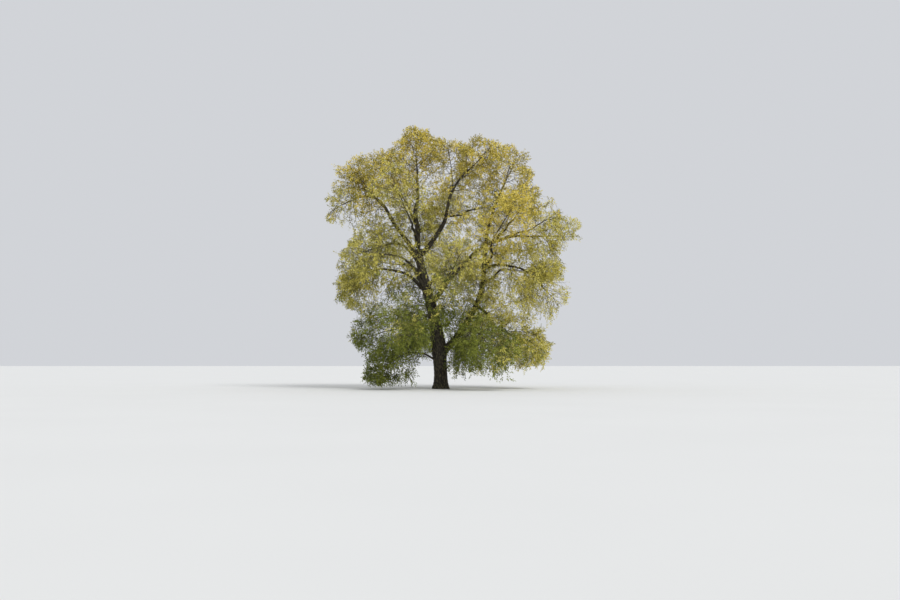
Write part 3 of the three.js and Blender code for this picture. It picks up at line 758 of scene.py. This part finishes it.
# how far spots seem to be outside the outline, or inside it where below nought
def outsideOutline(spots):
    x, z = inView(spots).T
    nearest = np.full(len(x), np.inf)
    inside = np.zeros(len(x), bool)
    for (x0, z0), (x1, z1) in zip(crownOutline, np.roll(crownOutline, -1, axis=0)):
        run, rise = x1 - x0, z1 - z0
        along = np.clip(((x - x0) * run + (z - z0) * rise) / (run ** 2 + rise ** 2), 0, 1)
        nearest = np.minimum(nearest, np.hypot(x - x0 - along * run, z - z0 - along * rise))
        if rise != 0:
            crossing = x0 + (z - z0) * run / rise
            inside ^= ((z > z0) != (z > z1)) & (x < crossing)
    wide, high = outlineEdge["pitch"]
    right, left = outlineEdge["slant"]
    ragged = np.sin(wide * x + right * z) * np.sin(high * z - left * x)
    return np.where(inside, -nearest, nearest) + outlineEdge["ragged"] * ragged


boxMargin = 0.15     # twigs may pass the solids' box by this much
lowEnd, highEnd = np.array(cadBox[0]) - boxMargin, np.array(cadBox[1]) + boxMargin


# shrinks shoots towards their starts, each to its share
def shorten(shoots, share):
    start = shoots["points"][:, :1]
    points = start + (shoots["points"] - start) * share[:, None, None]
    return {**shoots, "points": points, "length": shoots["length"] * share}


# shoots that would leave the solids' box are shortened
def fitInBox(shoots):
    start, way = shoots["points"][:, 0], shoots["points"][:, -1] - shoots["points"][:, 0]
    tip = start + way
    room = np.where(tip < lowEnd, (lowEnd - start) / way, 1)
    room = np.where(tip > highEnd, (highEnd - start) / way, room)
    return shorten(shoots, room.min(axis=1))


# shoots that would leave the outline are shortened too
def fitInOutline(shoots):
    count, steps = len(shoots["mass"]), shoots["points"].shape[1] - 1
    offEdge = outsideOutline(shoots["points"].reshape(-1, 3)).reshape(count, -1)
    outside = offEdge > outlineEdge["shootsEnd"]
    room = np.maximum(fewestSteps, outside.argmax(axis=1)) / steps
    return shorten(shoots, np.where(outside.any(axis=1), room, 1.0))


def thinOut(shoots):
    tips = shoots["points"][:, -1]
    inBox = ((tips > lowEnd) & (tips < highEnd)).all(1) & (tips[:, 2] > lowestTip)
    pastEdge = ease((outsideOutline(tips) - outlineEdge["from"]) / outlineEdge["softness"])
    missing = np.maximum(openSky(tips), pastEdge)
    return keepShoots(shoots, inBox & (draw.uniform(0, 1, len(tips)) > missing))


stems = fitInOutline(growStems())
branches = fitInOutline(fitInBox(joinShoots(growBranches(stems), growSides(), growReaches())))
branchlets = thinOut(growOn(branches, shootRules["branchlet"]))
twigs = thinOut(growOn(branchlets, shootRules["twig"]))
print("shoots:", [len(shoots["mass"]) for shoots in (stems, branches, branchlets, twigs)])


# Joined meshes

def buildMesh(name, corners, triangles, smooth=True):
    mesh = bpy.data.meshes.new(name)
    mesh.vertices.add(len(corners))
    mesh.vertices.foreach_set("co", corners.astype(np.float32).ravel())
    mesh.loops.add(triangles.size)
    mesh.loops.foreach_set("vertex_index", triangles.astype(np.int32).ravel())
    mesh.polygons.add(len(triangles))
    mesh.polygons.foreach_set("loop_start", np.arange(len(triangles), dtype=np.int32) * 3)
    mesh.polygons.foreach_set("use_smooth", np.full(len(triangles), smooth))
    mesh.update(calc_edges=True)
    mesh.validate()
    piece = bpy.data.objects.new(name, mesh)
    bpy.context.scene.collection.objects.link(piece)
    return piece


# corners and faces of many alike, from the faces of one
def repeatFaces(corners, faces):
    corners = np.stack(corners, axis=1)
    starts = np.arange(len(corners)) * corners.shape[1]
    return corners.reshape(-1, 3), (np.array(faces)[None] + starts[:, None, None]).reshape(-1, 3)


# closed round shoots that end in a point
def shootMesh(shoots, rule):
    points, radii, sides = shoots["points"], shoots["radii"], rule["sides"]
    rings = points.shape[1] - 1
    headings = unit(np.gradient(points, axis=1))
    side = across(headings[:, 0])[0]
    corners = []
    for k in range(rings):
        side = unit(side - headings[:, k] * (side * headings[:, k]).sum(-1, keepdims=True))
        over = np.cross(headings[:, k], side)
        for j in range(sides):
            angle = tau * j / sides
            outward = side * math.cos(angle) + over * math.sin(angle)
            corners.append(points[:, k] + radii[:, k, None] * outward)
    corners.append(points[:, -1])
    each = []
    for k in range(rings - 1):
        for j in range(sides):
            a, b = k * sides + j, k * sides + (j + 1) % sides
            each += [(a, b, b + sides), (a, b + sides, a + sides)]
    last = (rings - 1) * sides
    each += [(last + j, last + (j + 1) % sides, rings * sides) for j in range(sides)]
    each += [(0, j + 1, j) for j in range(1, sides - 1)]
    return repeatFaces(corners, each)


stemCorners, stemFaces = shootMesh(stems, stemRule)
branchCorners, branchFaces = shootMesh(branches, shootRules["branch"])
branchesPiece = buildMesh("branches", np.concatenate([stemCorners, branchCorners]),
                          np.concatenate([stemFaces, branchFaces + len(stemCorners)]))
branchletsPiece = buildMesh("branchlets", *shootMesh(branchlets, shootRules["branchlet"]))
twigsPiece = buildMesh("twigs", *shootMesh(twigs, shootRules["twig"]))

# A leaf: a narrow blade folded along its rib, of four faces
leaf = {
    "length": (0.12, 0.18),
    "width": 0.37,      # share of the length
    "shoulders": (0.3, 0.66),
    "narrowing": 0.78,
    "fold": 0.2,
    "curl": 0.12,
    "spacing": {"branchlet": 0.1, "twig": 0.062},
    "firstAt": {"branchlet": 0.35, "twig": 0.12},
    "lean": (38, 68),
    "lastLean": 0.3,    # the leaf at a shoot's tip leans this share of that
    "droop": 0.18,
    "facingUp": 0.5,
}


def growLeaves(shoots, spacing, firstAt):
    counts = np.maximum(2, np.round(shoots["length"] * (1 - firstAt) / spacing)).astype(int)
    index, order = spreadOn(counts)
    share = firstAt + (1 - firstAt) * (order + 1) / counts[index]
    start, ahead = alongShoots(shoots, index, share)[:2]
    turn = goldenAngle * order + draw.uniform(0, tau, len(counts))[index]
    isLast = order + 1 == counts[index]
    tilt = np.radians(draw.uniform(*leaf["lean"], len(index)) * np.where(isLast, leaf["lastLean"], 1))
    heading = leaned(ahead, tilt, turn)
    heading = unit(heading - up * leaf["droop"] * draw.uniform(0, 1, len(index))[:, None])
    length = draw.uniform(*leaf["length"], len(index))
    return {"start": start, "heading": heading, "shoot": index, "length": length}


def leafMesh(leaves):
    heading, length = leaves["heading"], leaves["length"][:, None]
    lean = leaf["facingUp"] * up + draw.normal(0, 1, heading.shape)
    face = unit(lean - heading * (lean * heading).sum(-1, keepdims=True))
    side = np.cross(heading, face)
    start = leaves["start"]
    half = leaf["width"] * length / 2
    tip = start + heading * length - face * leaf["curl"] * length
    corners = [start]
    for sign in (1, -1):
        for at, share in zip(leaf["shoulders"], (1, leaf["narrowing"])):
            middle = start + heading * at * length - face * leaf["curl"] * at * at * length
            corners.append(middle + side * sign * half * share + face * leaf["fold"] * half * share)
    return repeatFaces([*corners, tip], [(0, 1, 2), (0, 2, 5), (0, 4, 3), (0, 5, 4)])


# tones: plain colours, dealt out by spray; of each kind of leaf, the paler tone is painted light and the
# darker tone painted shade, lit and shaded copies of one colour
leafTones = {
    "gold": {"painted_light": (0.72, 0.585, 0.10), "painted_shade": (0.31, 0.26, 0.04)},
    "olive": {"painted_light": (0.62, 0.55, 0.115), "painted_shade": (0.25, 0.235, 0.042)},
    "green": {"painted_light": (0.22, 0.25, 0.028), "painted_shade": (0.095, 0.115, 0.01)},
}
tonePlaces = {
    "neighbour": 0.22,      # share of sprays in the colour of the next mass
    "mixed": ("low_back_right", "back_low"),
    "mixedShare": 0.5,      # the same share in these
    # share of sprays that get the painted light tone, the rest getting the painted shade tone
    "paintedLightShare": 0.55,
    # masses where the light falls more, whose sprays mostly get the painted light tone
    "sunny": ("far_right", "right_upper", "right_droop", "low_right", "front_right", "right_back",
              "low_back_right", "upper_back", "back_middle", "back_left", "back_low"),
    "sunnyShare": 0.85,
}


def toneOfShoots(shoots):
    order = np.argsort(farOut(shoots["points"].mean(axis=1)), axis=1)
    nearest = np.array(massNames)[order[:, 0]]
    mixed, sunny = np.isin(nearest, tonePlaces["mixed"]), np.isin(nearest, tonePlaces["sunny"])
    straying = np.where(mixed, tonePlaces["mixedShare"], tonePlaces["neighbour"])
    pick = np.where(draw.uniform(0, 1, len(order)) < straying, order[:, 1], order[:, 0])
    # whether each spray gets the painted light tone or the painted shade tone, by its mass
    paintedLightShare = np.where(sunny, tonePlaces["sunnyShare"], tonePlaces["paintedLightShare"])
    return leafKinds[pick], draw.uniform(0, 1, len(order)) < paintedLightShare


leafPieces = []
sprays = np.arange(len(branchlets["mass"]))  # a spray is a branchlet with its twigs
# each spray's leaf colour, and whether it carries the painted light or the painted shade tone
sprayKinds, sprayPaintedLight = toneOfShoots(branchlets)
grown = []
for name, shoots, sprayOf in (("branchlet", branchlets, sprays), ("twig", twigs, twigs["parent"])):
    leaves = growLeaves(shoots, leaf["spacing"][name], leaf["firstAt"][name])
    spray = sprayOf[leaves.pop("shoot")]
    leaves["kind"], leaves["painted_light"] = sprayKinds[spray], sprayPaintedLight[spray]
    grown.append(leaves)
allLeaves = joinShoots(*grown)
print("leaves:", len(allLeaves["start"]))
mostLeaves = 49000     # in one piece
# one piece for each leaf colour and each tone, painted light or painted shade
for kind, tones in leafTones.items():
    for tone in tones:
        chosen = np.flatnonzero((allLeaves["kind"] == kind) & (allLeaves["painted_light"] == (tone == "painted_light")))
        chosen = chosen[np.argsort(allLeaves["start"][chosen, 0], kind="stable")]
        count = max(1, math.ceil(len(chosen) / mostLeaves))
        for k, group in enumerate(np.array_split(chosen, count)):
            name = "leaves_" + kind + "_" + tone + ("" if count == 1 else "_" + str(k + 1))
            piece = buildMesh(name, *leafMesh(keepShoots(allLeaves, group)), False)
            leafPieces.append((piece, kind, tone))


# Finishes

class Wire:
    def __init__(self, finish, socket):
        self.finish, self.socket = finish, socket

    def sum(self, operation, first, second):
        return self.finish.node("Math", {0: first, 1: second}, operation=operation)

    def __add__(self, other):
        return self.sum("ADD", self, other)

    def __sub__(self, other):
        return self.sum("SUBTRACT", self, other)

    def __rsub__(self, other):
        return self.sum("SUBTRACT", other, self)

    def __mul__(self, other):
        return self.sum("MULTIPLY", self, other)

    __radd__ = __add__
    __rmul__ = __mul__


class Finish:
    def __init__(self, name):
        self.material = bpy.data.materials.new(name)
        self.material.use_nodes = True
        self.tree = self.material.node_tree
        self.surface = self.tree.nodes["Principled BSDF"]

    def feed(self, socket, value):
        if isinstance(value, Wire):
            self.tree.links.new(value.socket, socket)
        else:
            socket.default_value = value

    def node(self, kind, inputs, output=0, **settings):
        made = self.tree.nodes.new("ShaderNode" + kind)
        for key, value in settings.items():
            setattr(made, key, value)
        for key, value in inputs.items():
            self.feed(made.inputs[key], value)
        return Wire(self, made.outputs[output])

    def mix(self, factor, first, second):
        colours = [value if isinstance(value, Wire) else (*value, 1) for value in (first, second)]
        return self.node("Mix", {0: factor, 6: colours[0], 7: colours[1]}, 2, data_type="RGBA")

    # 0 to 1 as a value goes from low to high
    def between(self, value, low, high):
        return self.node("MapRange", {"Value": value, "From Min": low, "From Max": high})

    def mottle(self, place, scale, detail, roughness=0.5):
        inputs = {"Vector": place, "Scale": scale, "Detail": detail, "Roughness": roughness}
        return self.node("TexNoise", inputs)

    def dress(self, **inputs):
        for key, value in inputs.items():
            self.feed(self.surface.inputs[key.replace("_", " ")], value)
        return self.material


barkFinish = {
    "furrowColour": (0.012, 0.010, 0.007),
    "ridgeColour": (0.070, 0.057, 0.033),
    "greyColour": (0.115, 0.098, 0.060),
    "algaeColour": (0.058, 0.060, 0.020),
    "stretch": 0.25,       # along the limb
    "grain": 30,
    "graininess": 0.65,
    "patches": 1.6,
    "cracks": 24,
    "crackWidth": 0.12,
    "worn": (0.35, 0.7),
    "mossy": (0.5, 0.72),
    "mossShare": 0.7,
    "roughness": (0.98, 0.16),
    "bump": {"Strength": 0.6, "Distance": 0.012},
}


def makeBarkFinish():
    finish, look = Finish("bark"), barkFinish
    place = finish.node("Attribute", {}, 1, attribute_name="barkPlace")
    plate = finish.node("Attribute", {}, 2, attribute_name="plate")
    drawn = finish.node("Mapping", {"Vector": place, "Scale": (1, 1, look["stretch"])})
    grain = finish.mottle(drawn, look["grain"], 5, look["graininess"])
    mossy = finish.between(finish.mottle(place, look["patches"], 3), *look["mossy"])
    cracks = finish.node("TexVoronoi", {"Vector": drawn, "Scale": look["cracks"]}, feature="DISTANCE_TO_EDGE")
    ridge = finish.mix(finish.between(grain, *look["worn"]), look["ridgeColour"], look["greyColour"])
    ridge = finish.mix(mossy * look["mossShare"], ridge, look["algaeColour"])
    colour = finish.mix(plate, look["furrowColour"], ridge)
    height = grain * 0.5 + finish.between(cracks, 0.0, look["crackWidth"]) * 0.5
    bump = finish.node("Bump", {"Height": height, **look["bump"]})
    dull, glossier = look["roughness"]
    return finish.dress(Base_Color=colour, Roughness=dull - glossier * grain, Normal=bump)


branchSurface = {"roughness": 0.85, "bump": {"Strength": 0.4, "Distance": 0.004}}
branchFinish = {"young": (0.085, 0.072, 0.042), "old": (0.04, 0.034, 0.022), "grain": 40}
twigFinish = {"young": (0.16, 0.135, 0.05), "old": (0.08, 0.066, 0.03), "grain": 60}


def makeBranchFinish(name, look):
    finish = Finish(name)
    grain = finish.mottle(finish.node("TexCoord", {}, 3), look["grain"], 4)
    colour = finish.mix(grain, look["old"], look["young"])
    bump = finish.node("Bump", {"Height": grain, **branchSurface["bump"]})
    return finish.dress(Base_Color=colour, Roughness=branchSurface["roughness"], Normal=bump)


barkMaterial = makeBarkFinish()
for nodeName, piece in barkPieces.items():
    piece.data.materials.append(barkMaterial)
    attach(piece, "root")
    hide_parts(nodeName)
branchesPiece.data.materials.append(makeBranchFinish("branch_bark", branchFinish))
twigMaterial = makeBranchFinish("twig_bark", twigFinish)
for piece in (branchletsPiece, twigsPiece):
    piece.data.materials.append(twigMaterial)
for piece in (branchesPiece, branchletsPiece, twigsPiece):
    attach(piece, "root")
leafFinish = {"Roughness": 0.55, "Specular_IOR_Level": 0.35}
leafMaterials = {}
# each leaf colour as two materials, lit and shaded copies: painted light and painted shade
for kind, tones in leafTones.items():
    for tone, colour in tones.items():
        finish = Finish("leaf_" + kind + "_" + tone)
        leafMaterials[kind, tone] = finish.dress(Base_Color=(*colour, 1), **leafFinish)
for piece, kind, tone in leafPieces:
    piece.data.materials.append(leafMaterials[kind, tone])
    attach(piece, "root")
    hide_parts(*["foliage_" + name for name, row in massTable.items() if row[3] == kind])
    "leaves_" + kind
print("finishes:", len(bpy.data.materials))


# Floor, light and camera

stage = {
    "floorSize": 3000,
    "floorGap": 0.002,     # below the trunk's flat cut
    "floorColour": (0.78, 0.78, 0.76),
    "cloudShade": 0.96,
    "cloudScale": 0.15,
    "floorRoughness": 0.9,
    "sky": (0.80, 0.82, 0.86),
    "skyStrength": 0.8,
    "sun": 1.8,
    "sunAngle": 25,
    "sunHeading": (46, 34),
}


def setStage():
    bpy.ops.object.select_all(action="DESELECT")
    bpy.ops.mesh.primitive_plane_add(size=stage["floorSize"], location=(0, 0, -stage["floorGap"]))
    floor = bpy.context.object
    floor.name = "floor"
    floor.data.transform(floor.matrix_world)
    floor.location = (0, 0, 0)
    finish = Finish("floor_paint")
    cloud = finish.mottle(finish.node("TexCoord", {}, 3), stage["cloudScale"], 2)
    shaded = [stage["cloudShade"] * part for part in stage["floorColour"]]
    pale = finish.mix(cloud, stage["floorColour"], shaded)
    floor.data.materials.append(finish.dress(Base_Color=pale, Roughness=stage["floorRoughness"]))
    world = bpy.data.worlds.new("sky")
    bpy.context.scene.world = world
    world.use_nodes = True
    background = world.node_tree.nodes["Background"]
    background.inputs["Color"].default_value = (*stage["sky"], 1)
    background.inputs["Strength"].default_value = stage["skyStrength"]
    sun = bpy.data.objects.new("sun", bpy.data.lights.new("sun", "SUN"))
    sun.data.energy, sun.data.angle = stage["sun"], math.radians(stage["sunAngle"])
    sun.rotation_euler = (math.radians(stage["sunHeading"][0]), 0, math.radians(stage["sunHeading"][1]))
    bpy.context.scene.collection.objects.link(sun)


def setCamera():
    data = bpy.data.cameras.new("view")
    data.lens, data.sensor_width, data.clip_end = camera["lens"], camera["sensor"], camera["farthest"]
    made = bpy.data.objects.new("view", data)
    made.location = camera["place"]
    made.rotation_euler = (math.radians(90 + camera["pitch"]), 0, math.radians(-camera["turn"]))
    bpy.context.scene.collection.objects.link(made)
    bpy.context.scene.camera = made


setStage()
setCamera()
bpy.context.scene.view_settings.view_transform = "Standard"
print("done")
